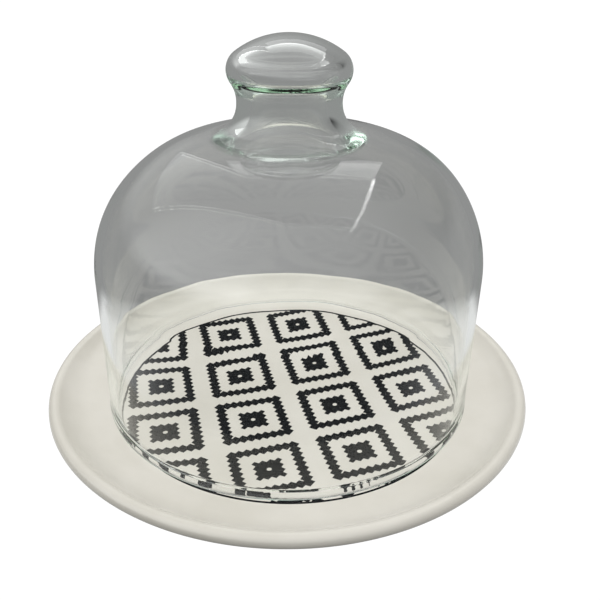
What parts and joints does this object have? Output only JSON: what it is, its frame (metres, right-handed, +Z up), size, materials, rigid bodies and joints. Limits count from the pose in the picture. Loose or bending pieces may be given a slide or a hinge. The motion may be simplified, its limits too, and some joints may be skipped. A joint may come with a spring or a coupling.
{
  "type": "cheese dome",
  "caption": "Round shallow stoneware plate with a printed geometric pattern, under a clear glass bell with a squat hollow knob that lifts straight off.",
  "frame": {"origin": "middle of the foot ring's underside, on the table", "axes": "+Z up along the axis of the plate, bell and knob; -Y towards the person in front"},
  "size_m": [0.21, 0.21, 0.1643],
  "materials": {
    "glazed_stoneware": "warm ivory gloss glaze",
    "fired_print": "charcoal print fired under a thin gloss",
    "bell_glass": "clear, very slightly green",
    "knob_glass": "clear, slightly green where it is thick"
  },
  "bodies": {
    "dish": {"plate": "glazed_stoneware", "printed_pattern": "fired_print"},
    "dome": {"glass_bell": "bell_glass", "glass_knob": "knob_glass"}
  },
  "joints": [
    {"name": "dome_lift", "type": "slide", "parent": "dish", "child": "dome", "axis": [0, 0, 1], "range_m": [0, 0.15]}
  ]
}
